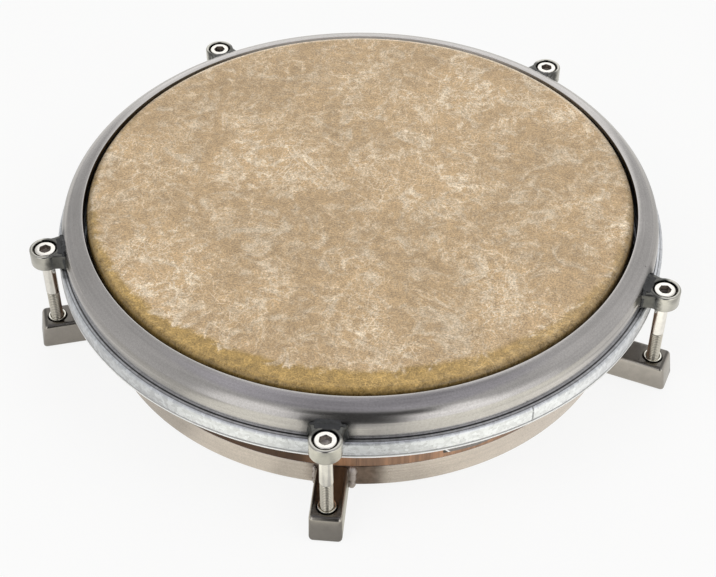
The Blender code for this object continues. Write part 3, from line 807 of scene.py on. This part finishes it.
class CONGA_OT_ring(bpy.types.Operator):
    """Make the rolled frame ring with the flange that carries the shell"""

    bl_idname = "conga.ring"
    bl_label = "Frame ring"

    def execute(self, context):
        settings = context.scene.conga
        flange_inner, flange_top, flange_bottom = RING_INNER - 0.0075, -0.0656, -0.0678
        outline = [(RING_INNER, RING_TOP), (RING_RADIUS, RING_TOP), (RING_RADIUS, RING_BOTTOM), (RING_INNER, RING_BOTTOM)]
        outline += [(RING_INNER, flange_bottom), (flange_inner, flange_bottom), (flange_inner, flange_top)]
        outline += [(RING_INNER, flange_top)]
        mesh = closed_mesh(spun(rounded(outline, settings.edge_round), settings.round_steps), "rolled_ring")
        burn = (RING_RADIUS, 0.0075, 0.0185, (0.092, 0.066, 0.052), (-0.0572, -0.0560))
        finish = plated_finish("ring_plating", tuple(settings.ring_colour), 0.26, *burn)
        add_piece("rolled_ring", mesh, finish, "frame", ("frame_ring",))
        return {"FINISHED"}


def ear_mesh(name):
    """An ear: a turned boss on a web that flares out to the rim, bored for the rod and its head."""
    size, corner = 0.0084, 0.0008
    side = [(0.0, EAR_BOTTOM), (size - corner, EAR_BOTTOM)]
    side += arc((size - corner, EAR_BOTTOM + corner), corner, -90.0, 0.0, 4)[1:]
    side += arc((size - corner, EAR_TOP - corner), corner, 0.0, 90.0, 5) + [(0.0, EAR_TOP)]
    boss = on_rod_axis(spun(side, 72))
    web = bmesh.new()
    plan = [(0.1630, 0.0104), (0.1668, 0.0082), (LUG_RADIUS, 0.0076)]
    plan += [(x, -y) for x, y in reversed(plan)]
    face = web.faces.new([web.verts.new((x, y, -0.0176)) for x, y in plan])
    waist = [corner for corner in face.verts if abs(corner.co.x - 0.1668) < 0.0001]
    bmesh.ops.bevel(
        web, geom=waist, offset=0.0026, offset_type="OFFSET", segments=5, profile=0.5, affect="VERTICES", material=-1
    )
    pulled = bmesh.ops.extrude_face_region(web, geom=web.faces[:])["geom"]
    lifted = [item for item in pulled if isinstance(item, bmesh.types.BMVert)]
    bmesh.ops.translate(web, verts=lifted, vec=(0.0, 0.0, 0.0176 + EAR_TOP - 0.0002))
    level = EAR_TOP - 0.0002
    upper = [edge for edge in web.edges if all(abs(end.co.z - level) < 0.00001 for end in edge.verts)]
    round_edges(web, upper, 0.0014, 5)
    bore = [(0.0, EAR_BOTTOM - 0.0010), (0.0039, EAR_BOTTOM - 0.0010), (0.0039, EAR_SEAT), (0.0066, EAR_SEAT)]
    bore += [(0.0066, EAR_TOP - 0.0003), (0.0072, EAR_TOP + 0.0003), (0.0072, EAR_TOP + 0.0010)]
    bore += [(0.0, EAR_TOP + 0.0010)]
    body = combined(boss, [web], "UNION")
    return closed_mesh(combined(body, [on_rod_axis(spun(bore, 64))], "DIFFERENCE"), name, 30.0)


class CONGA_OT_ears(bpy.types.Operator):
    """Make the counterbored ears on the rim and the welds that hold them"""

    bl_idname = "conga.ears"
    bl_label = "Ears and their welds"

    def execute(self, context):
        settings = context.scene.conga
        body = cast_finish("ear_plating", (0.58, 0.565, 0.52), 0.16, 0.1738, 0.0)
        scale = weld_finish("ear_weld_scale", (0.085, 0.086, 0.088))
        pattern = ear_mesh("bored_ear")
        size = settings.weld_size
        for index in range(LUG_COUNT):
            number = index + 1
            chance = random.Random(20 + index)
            add_piece(
                f"bored_ear_{number}", pattern.copy(), body, "hoop", (f"hoop_ear_{number}",), lug_turn(index)
            )
            # A hollow fillet of weld metal between the rim's crown and the web, with a bead down each side
            slope = [(0.1624, -0.0064), (0.1636, -0.0071), (0.1652, -0.0080), (0.1676, EAR_TOP - 0.0001)]
            filler = spun(slope + [(0.1676, EAR_TOP - 0.0012), (0.1624, EAR_TOP - 0.0012)], 16, 4.4)
            bmesh.ops.rotate(filler, verts=filler.verts, matrix=Matrix.Rotation(math.radians(-2.2), 3, "Z"))
            drops = []
            for step in range(13):
                share = step / 6.0 - 1.0
                width = 0.0074 * share
                height = -0.0073 - 0.0018 * share * share + chance.uniform(-0.0002, 0.0002)
                radius = 0.1506 + 0.0140 * math.sqrt(1.0 - ((height + 0.0116) / 0.0105) ** 2) + 0.0003
                place = (math.sqrt(radius**2 - width**2), width, height - 0.0004)
                drops.append((place, size * chance.uniform(0.75, 1.05)))
            for side in (-1.0, 1.0):
                for step in range(9):
                    share = step / 8.0
                    width = side * (0.0080 + 0.0018 * share)
                    place = (math.sqrt(0.1646**2 - width**2), width, -0.0092 - 0.0076 * share)
                    drops.append((place, size * (1.0 - 0.3 * share) * chance.uniform(0.85, 1.15)))
            name = f"ear_weld_{number}"
            add_piece(name, weld_mesh(name, drops, 0.00028, filler), scale, "hoop", (), lug_turn(index))
        return {"FINISHED"}


def arm_mesh(name):
    """An arm: a block with a leaning nose and rounded edges, on a foot and a tab, bored for its nut."""
    inner, nose, half, lean = 0.1468, 0.1818, 0.0085, 0.0024
    bm = bmesh.new()
    corners = block(bm, (inner, -half, FLOOR), (nose, half, ARM_TOP))
    toe = [corner for corner in corners if corner.co.x > LUG_RADIUS and corner.co.z < ARM_BOTTOM]
    bmesh.ops.translate(bm, verts=toe, vec=(lean, 0.0, 0.0))

    def outside(edge):
        return any(end.co.x > inner + 0.0001 for end in edge.verts)

    def level(edge, height):
        return all(abs(end.co.z - height) < 0.00001 for end in edge.verts)

    upright = [edge for edge in bm.edges if all(end.co.x > LUG_RADIUS for end in edge.verts) and not level(edge, FLOOR)]
    upper = {edge for edge in bm.edges if outside(edge) and level(edge, ARM_TOP)}
    round_edges(bm, list(upper.union(upright)), 0.0022, 6)
    round_edges(bm, [edge for edge in bm.edges if outside(edge) and level(edge, FLOOR)], 0.0020, 5)
    hollow = bmesh.new()
    block(hollow, (inner - 0.0050, -0.0150, FLOOR - 0.0050), (0.1632, 0.0150, ARM_BOTTOM))
    arch = bmesh.new()
    block(arch, (0.1656, -0.0150, FLOOR - 0.0050), (0.1806, 0.0150, ARM_BOTTOM))
    bore = [(0.0, FLOOR - 0.0010), (0.0069, FLOOR - 0.0010), (0.0069, -0.0717), (0.0054, -0.0717)]
    bore += [(0.0054, ARM_TOP - 0.0003), (0.0060, ARM_TOP + 0.0003), (0.0060, ARM_TOP + 0.0010)]
    bore += [(0.0, ARM_TOP + 0.0010)]
    cutters = [hollow, arch, on_rod_axis(spun(bore, 64))]
    return closed_mesh(combined(bm, cutters, "DIFFERENCE"), name, 30.0)


class CONGA_OT_arms(bpy.types.Operator):
    """Make the cast lug arms and the welds that hold them to the ring"""

    bl_idname = "conga.arms"
    bl_label = "Arms and their welds"

    def execute(self, context):
        settings = context.scene.conga
        body = cast_finish("arm_plating", tuple(settings.arm_colour), 0.21, 0.1440, ARM_TOP - 0.0002)
        scale = weld_finish("arm_weld_scale", (0.50, 0.45, 0.43))
        pattern = arm_mesh("cast_arm")
        for index in range(LUG_COUNT):
            number = index + 1
            chance = random.Random(40 + index)
            add_piece(
                f"cast_arm_{number}", pattern.copy(), body, "frame", (f"lug_arm_{number}",), lug_turn(index)
            )
            for side, mark in ((-1.0, "a"), (1.0, "b")):
                size = settings.weld_size * (1.5 if side > 0 else 0.8)
                drops = []
                for step in range(15):
                    share = step / 14.0
                    height = ARM_TOP - 0.0014 - (ARM_TOP - RING_BOTTOM - 0.0018) * share
                    width = side * (0.0089 + size * 0.45 + chance.uniform(-0.0003, 0.0005))
                    radius = RING_RADIUS + 0.0004 + chance.uniform(-0.0002, 0.0003)
                    lump = 1.0 + 0.20 * math.sin(5.0 * math.pi * share + index) + chance.uniform(-0.12, 0.12)
                    drops.append(((math.sqrt(radius**2 - width**2), width, height), size * lump))
                name = f"arm_weld_{number}{mark}"
                add_piece(name, weld_mesh(name, drops), scale, "frame", (), lug_turn(index))
        return {"FINISHED"}


def threaded_end(crest, core, pitch, low, high):
    """A bmesh of a rod's threaded end: one groove's outline wound up a screw, then cut square and chamfered."""
    bm = bmesh.new()
    groove = [(core, 0.0), (core, 0.13), (crest, 0.43), (crest, 0.57), (core, 0.87), (core, 1.0)]
    start = low - 1.5 * pitch
    corners = [bm.verts.new((radius, 0.0, start + share * pitch)) for radius, share in groove]
    edges = [bm.edges.new(pair) for pair in zip(corners, corners[1:])]
    turns = math.ceil((high - low) / pitch) + 3
    steps = 28
    bmesh.ops.spin(
        bm,
        geom=corners + edges,
        cent=(0.0, 0.0, 0.0),
        axis=(0.0, 0.0, 1.0),
        dvec=(0.0, 0.0, pitch / steps),
        angle=2.0 * math.pi * turns,
        steps=steps * turns,
    )
    bmesh.ops.remove_doubles(bm, verts=bm.verts, dist=0.000005)
    for height, direction in ((low, -1.0), (high, 1.0)):
        bmesh.ops.bisect_plane(
            bm,
            geom=bm.verts[:] + bm.edges[:] + bm.faces[:],
            dist=0.0000001,
            plane_co=(0.0, 0.0, height),
            plane_no=(0.0, 0.0, direction),
            clear_outer=True,
        )
    bmesh.ops.holes_fill(bm, edges=[edge for edge in bm.edges if edge.is_boundary], sides=0)
    envelope = [(0.0, low + 0.00002), (core - 0.0002, low + 0.00002), (crest + 0.0004, low + 0.0012)]
    envelope += [(crest + 0.0004, high - 0.0010), (core - 0.0002, high - 0.00002), (0.0, high - 0.00002)]
    return combined(bm, [spun(envelope, 48)], "INTERSECT")


def rod_mesh(name, settings):
    """A tension rod standing on the drum's axis: socket head, plain shank and threaded end."""
    head, shank, crest = 0.0056, 0.0035, 0.0034
    core = crest - settings.thread_depth
    stud = threaded_end(crest, core, settings.thread_pitch, ROD_TIP, THREAD_TOP - 0.0002)
    side = [(0.0, THREAD_TOP - 0.0020), (core - 0.0001, THREAD_TOP - 0.0020), (core - 0.0001, THREAD_TOP)]
    side += [(shank - 0.0003, THREAD_TOP), (shank, THREAD_TOP + 0.0004), (shank, HEAD_BOTTOM - 0.0004)]
    side += [(shank + 0.0003, HEAD_BOTTOM), (head - 0.0002, HEAD_BOTTOM), (head, HEAD_BOTTOM + 0.0002)]
    side += [(head, HEAD_TOP - 0.0005)] + arc((head - 0.0005, HEAD_TOP - 0.0005), 0.0005, 0.0, 90.0, 4)[1:]
    side += [(0.0, HEAD_TOP)]
    rod = combined(spun(side, 56), [stud], "UNION")
    socket = bmesh.new()
    corner = settings.socket_flats / math.sqrt(3.0)
    turned = Matrix.Translation((0.0, 0.0, HEAD_TOP - 0.0030)) @ Matrix.Rotation(math.pi / 2.0, 4, "Z")
    bmesh.ops.create_circle(socket, cap_ends=True, radius=corner, segments=6, matrix=turned)
    pulled = bmesh.ops.extrude_face_region(socket, geom=socket.faces[:])["geom"]
    lifted = [item for item in pulled if isinstance(item, bmesh.types.BMVert)]
    bmesh.ops.translate(socket, verts=lifted, vec=(0.0, 0.0, 0.0040))
    flat = settings.socket_flats / 2.0
    drill = [(0.0, HEAD_TOP - 0.0042), (flat - 0.0002, HEAD_TOP - 0.0029), (flat - 0.0002, HEAD_TOP - 0.0003)]
    drill += [(flat + 0.0005, HEAD_TOP + 0.0002), (0.0, HEAD_TOP + 0.0002)]
    return closed_mesh(combined(rod, [socket, spun(drill, 48)], "DIFFERENCE"), name, 30.0)


class CONGA_OT_rods(bpy.types.Operator):
    """Make the tension rods with their hexagon sockets and cut threads, and the washers under their heads"""

    bl_idname = "conga.rods"
    bl_label = "Tension rods and washers"

    def execute(self, context):
        settings = context.scene.conga
        bright = rod_finish((0.97, 0.94, 0.89), (0.84, 0.79, 0.68), 0.0034, settings.socket_flats / math.sqrt(3.0))
        plain = polished_finish("washer_plating", (0.30, 0.29, 0.28), 0.34)
        pattern = rod_mesh("cut_rod", settings)
        ring = rounded([(0.0039, -0.0151), (0.0063, -0.0151), (0.0063, -0.0143), (0.0039, -0.0143)], 0.0002, 3)
        for index in range(LUG_COUNT):
            number = index + 1
            stand = lug_turn(index) @ Matrix.Translation((LUG_RADIUS, 0.0, 0.0)) @ Matrix.Rotation(0.35 * index, 4, "Z")
            add_piece(
                f"cut_rod_{number}", pattern.copy(), bright, f"rod_{number}", (f"tension_rod_{number}",), stand
            )
            mesh = closed_mesh(spun(ring, 48), f"plain_washer_{number}")
            add_piece(f"plain_washer_{number}", mesh, plain, "hoop", (f"rod_washer_{number}",), stand)
        return {"FINISHED"}


class CONGA_OT_nuts(bpy.types.Operator):
    """Make the threaded sleeves in the arms"""

    bl_idname = "conga.nuts"
    bl_label = "Lug nuts"

    def execute(self, context):
        bright = polished_finish("nut_plating", (0.95, 0.93, 0.86), 0.16)
        top, flange_top, bottom = -0.0584, -0.0720, -0.0740
        outline = [(0.0037, top - 0.0004), (0.0040, top), (0.0048, top), (0.0048, flange_top), (0.0066, flange_top)]
        outline += [(0.0066, bottom), (0.0037, bottom)]
        for index in range(LUG_COUNT):
            number = index + 1
            stand = lug_turn(index) @ Matrix.Translation((LUG_RADIUS, 0.0, 0.0))
            mesh = closed_mesh(spun(rounded(outline, 0.0002), 64), f"sleeve_nut_{number}")
            add_piece(f"sleeve_nut_{number}", mesh, bright, "frame", (f"lug_nut_{number}",), stand)
        return {"FINISHED"}


def studio_light(world):
    """A studio drawn on the sky: dim above, bright behind and on both sides in front, dark between those."""
    world.use_nodes = True
    studio = Nodework(world.node_tree)
    sky = studio.tree.nodes["Background"]
    x, y, z = studio.split(studio.node("ShaderNodeTexCoord", output="Generated"))
    level = ((x * x + y * y) ** 0.5).sum("MAXIMUM", 0.01)

    def facing(degrees, far, near):
        """1 near a compass direction and 0 far from it, both in degrees either side."""
        angle = math.radians(degrees)
        cosine = (x * math.cos(angle) + y * math.sin(angle)) / level
        return cosine.rise(math.cos(math.radians(far)), math.cos(math.radians(near)))

    light = 0.54 + 0.11 * facing(-10.0, 60.0, 20.0) + 0.10 * facing(45.0, 60.0, 20.0)
    light = light + 0.06 * facing(-165.0, 40.0, 20.0) + facing(93.0, 27.0, 18.0) * 0.60
    light = light + facing(118.0, 16.0, 8.0) * z.rise(0.34, 0.10) * 0.25
    low = 1.0 - z.rise(0.68, 0.84)
    light = light + facing(-121.0, 22.0, 4.0) * low * 0.62
    right = (facing(-51.0, 22.0, 4.0) * (1.0 - z.rise(0.50, 0.64))).sum("MAXIMUM", facing(-48.0, 12.0, 3.0) * low)
    right = right.sum("MAXIMUM", facing(-49.0, 26.0, 5.0) * (1.0 - z.rise(0.28, 0.44)))
    light = light + (right * 0.82).sum("MAXIMUM", facing(-38.0, 28.0, 8.0) * (1.0 - z.rise(0.34, 0.64)) * 0.45)
    above = z.rise(0.82, 0.93)
    roof = 0.38 + 0.25 * facing(160.0, 80.0, 30.0) * z.rise(0.995, 0.94)
    roof = roof + 0.16 * facing(-10.0, 75.0, 35.0) * z.rise(0.995, 0.96)
    tone = studio.mix(above, studio.joined(light, light, light * 0.985), studio.joined(roof, roof * 0.99, roof * 1.07))
    # A dark shape behind the camera, broader towards its top
    stand = facing(-86.0, 20.0, 10.0) * (1.0 - z.rise(0.84, 0.92))
    stand = stand.sum("MAXIMUM", facing(-81.5, 34.0, 22.0) * z.rise(0.58, 0.70) * (1.0 - z.rise(0.78, 0.90)))
    dark = 0.045 + 0.12 * (1.0 - z.rise(0.02, 0.26))
    tone = studio.mix(stand, tone, studio.joined(dark, dark, dark))
    seen = studio.node("ShaderNodeLightPath", output="Is Camera Ray")
    studio.feed(sky.inputs["Color"], studio.mix(seen, tone, (0.956, 0.956, 0.956)))
    sky.inputs["Strength"].default_value = 1.0


def paper_finish():
    """White floor paper that shows the drum's shadow faintly; mirrored, it shows painted light and shade, darker in
    front and on the left.
    """
    paper = Finish("studio_paper", 0.9)
    paper.paint(paper.mix(paper.noise(3.0, 2.0), (0.90, 0.90, 0.90), (0.93, 0.93, 0.93)))
    x, y, _ = paper.split(paper.place)
    radius = ((x * x + y * y) ** 0.5).sum("MAXIMUM", 0.01)

    def lobe(degrees, far, near):
        """1 on the floor in one direction from the drum and 0 far from it, both in degrees either side."""
        angle = math.radians(degrees)
        cosine = (x * math.cos(angle) + y * math.sin(angle)) / radius
        return cosine.rise(math.cos(math.radians(far)), math.cos(math.radians(near)))

    # Seen in mirrors the floor carries painted light and shade: painted bright and dark patches round the drum, a
    # painted dark patch before the front arm and a painted pool of light close under the drum
    front = lobe(-112.0, 18.0, 3.0)
    right = x.rise(0.08, 0.24) * (1.0 - y.rise(0.03, 0.14)) * 0.40
    back = y.rise(0.10, 0.24) * (1.0 - lobe(30.0, 18.0, 6.0)) * 0.36
    sides = (front * 0.74).sum("MAXIMUM", lobe(-48.0, 34.0, 8.0) * 0.90)
    bright = 0.50 + sides.sum("MAXIMUM", right.sum("MAXIMUM", back))
    bright = bright - 0.10 * x.rise(-0.20, -0.45) * y.rise(0.30, 0.05)
    bright = bright - 0.34 * lobe(-90.0, 15.0, 6.0) * radius.rise(0.214, 0.200)
    bright = bright - 0.36 * lobe(-84.0, 13.0, 7.0) * radius.rise(0.26, 0.48)
    close = radius.rise(0.204, 0.212) * radius.rise(0.260, 0.236)
    beside = radius.rise(0.243, 0.255) * radius.rise(0.290, 0.272)
    bright = bright - 0.50 * lobe(-22.0, 40.0, 22.0) * beside
    bright = bright + close * (0.30 * lobe(-90.0, 9.0, 5.0) + 0.22 * x.rise(-0.12, -0.18))
    shaded = 0.16 * x.rise(-0.05, -0.09) + 0.32 * x.rise(-0.12, -0.15)
    bright = bright.sum("MAXIMUM", 0.94 * radius.rise(0.185, 0.172) * (1.0 - shaded))
    light_path = paper.node("ShaderNodeLightPath", output="Is Camera Ray")
    mirrored = light_path.beside("Is Glossy Ray")
    warm = paper.joined(bright, bright * 0.985, bright * (0.92 - 0.08 * y.rise(-0.05, -0.22)))
    tone = paper.mix(light_path, warm, (0.968, 0.968, 0.965))
    glow = paper.node("ShaderNodeEmission", None, {"Color": tone, "Strength": 1.0})
    share = light_path * 0.90 + mirrored * 0.60
    lit = Channel(paper, paper.shader.outputs[0])
    both = paper.node("ShaderNodeMixShader", None, {0: share, 1: lit, 2: glow})
    paper.feed(paper.tree.nodes["Material Output"].inputs["Surface"], both)
    return paper.material


class CONGA_OT_stage(bpy.types.Operator):
    """Make the pale floor, the soft studio light and the camera"""

    bl_idname = "conga.stage"
    bl_label = "Studio and camera"

    def execute(self, context):
        scene = context.scene
        bm = bmesh.new()
        ground = Matrix.Translation((0.0, 0.0, FLOOR - 0.0002))
        bmesh.ops.create_grid(bm, x_segments=4, y_segments=4, size=6.0, matrix=ground)
        mesh = bpy.data.meshes.new("studio_floor")
        bm.to_mesh(mesh)
        bm.free()
        mesh.materials.append(paper_finish())
        floor = bpy.data.objects.new("studio_floor", mesh)
        scene.collection.objects.link(floor)
        scene.world = bpy.data.worlds.new("studio")
        studio_light(scene.world)
        for name, place, size, power in (
            ("key_softbox", (-1.0, -0.7, 1.7), 1.3, 13.0),
            ("fill_softbox", (1.2, -0.3, 1.6), 1.3, 11.0),
        ):
            light = bpy.data.lights.new(name, "AREA")
            light.shape = "SQUARE"
            light.size = size
            light.energy = power
            lamp = bpy.data.objects.new(name, light)
            lamp.location = place
            lamp.rotation_euler = (-Vector(place)).to_track_quat("-Z", "Y").to_euler()
            lamp.visible_glossy = False
            scene.collection.objects.link(lamp)
        camera_data = bpy.data.cameras.new("studio_camera")
        camera_data.sensor_width = 36.0
        camera_data.lens = 1524.5 / 716.0 * 36.0
        camera_data.clip_start = 0.01
        camera = bpy.data.objects.new("studio_camera", camera_data)
        forward = Vector((-0.06977, 0.72271, -0.68763)).normalized()
        right = forward.cross(Vector((0.0, 0.0, 1.0))).normalized()
        turn = Matrix((right, right.cross(forward), -forward)).transposed().to_4x4()
        camera.matrix_world = Matrix.Translation((0.06099, -0.64497, 0.53927)) @ turn
        scene.collection.objects.link(camera)
        scene.camera = camera
        scene.view_settings.view_transform = "Standard"
        return {"FINISHED"}


class CONGA_PT_panel(bpy.types.Panel):
    """The drum's pieces, sizes and colours"""

    bl_idname = "CONGA_PT_panel"
    bl_label = "Flat Frame Conga"
    bl_space_type = "VIEW_3D"
    bl_region_type = "UI"
    bl_category = "Conga"

    def draw(self, context):
        for name in DrumSettings.__annotations__:
            self.layout.prop(context.scene.conga, name)
        for maker in MAKERS:
            self.layout.operator(maker.bl_idname)


MAKERS = (
    CONGA_OT_head,
    CONGA_OT_shell,
    CONGA_OT_rim,
    CONGA_OT_flesh_hoop,
    CONGA_OT_ring,
    CONGA_OT_ears,
    CONGA_OT_arms,
    CONGA_OT_rods,
    CONGA_OT_nuts,
    CONGA_OT_stage,
)
CLASSES = (DrumSettings, *MAKERS, CONGA_PT_panel)


def register():
    """Add the settings, the operators and the panel."""
    for cls in CLASSES:
        bpy.utils.register_class(cls)
    bpy.types.Scene.conga = bpy.props.PointerProperty(type=DrumSettings)


def unregister():
    """Take away what register added."""
    del bpy.types.Scene.conga
    for cls in reversed(CLASSES):
        bpy.utils.unregister_class(cls)


def main():
    """Build every piece."""
    register()
    for maker in MAKERS:
        group, name = maker.bl_idname.split(".")
        getattr(getattr(bpy.ops, group), name)()


if __name__ == "__main__":
    main()
